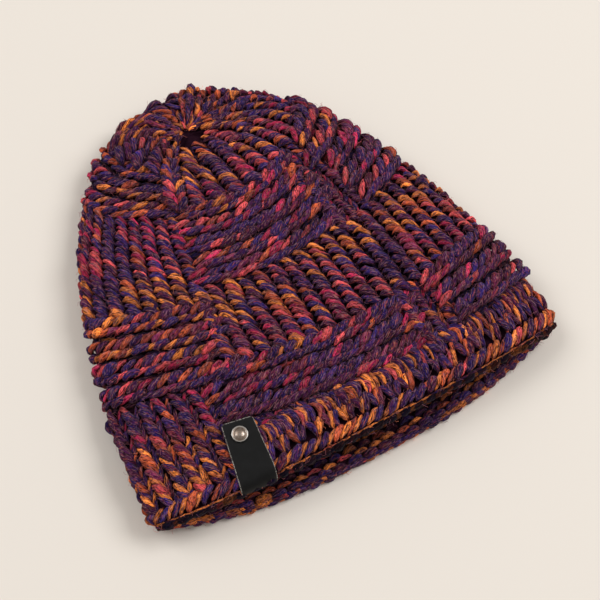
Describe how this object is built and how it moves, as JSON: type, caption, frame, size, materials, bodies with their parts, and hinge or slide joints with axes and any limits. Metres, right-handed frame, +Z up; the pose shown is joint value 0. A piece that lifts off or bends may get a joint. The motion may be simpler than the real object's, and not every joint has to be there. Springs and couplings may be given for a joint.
{
  "type": "knitted beanie",
  "caption": "Chunky basket-weave knitted beanie lying flat, open at the rim for a head, with a bare leather tag folded over the rim and held by a rivet.",
  "frame": {"origin": "middle of the hat's bounding box, on the surface that it lies on", "axes": "+Z up, +Y from the rim to the crown tip, +X to the wearer-side fold that is on the right when the rim faces the viewer"},
  "size_m": [0.2444, 0.2416, 0.0326],
  "materials": {
    "wool_yarn": "bulky two-ply marled wool, navy and purple twisted with orange, coral and magenta",
    "tag_leather": "smooth black leather, bare, raw cut edges",
    "rivet_steel": "satin nickel-plated steel"
  },
  "bodies": {
    "root": {"rim_band": "wool_yarn", "knit_body": "wool_yarn", "knit_crown": "wool_yarn", "leather_tag": "tag_leather", "rivet": "rivet_steel"}
  },
  "joints": []
}
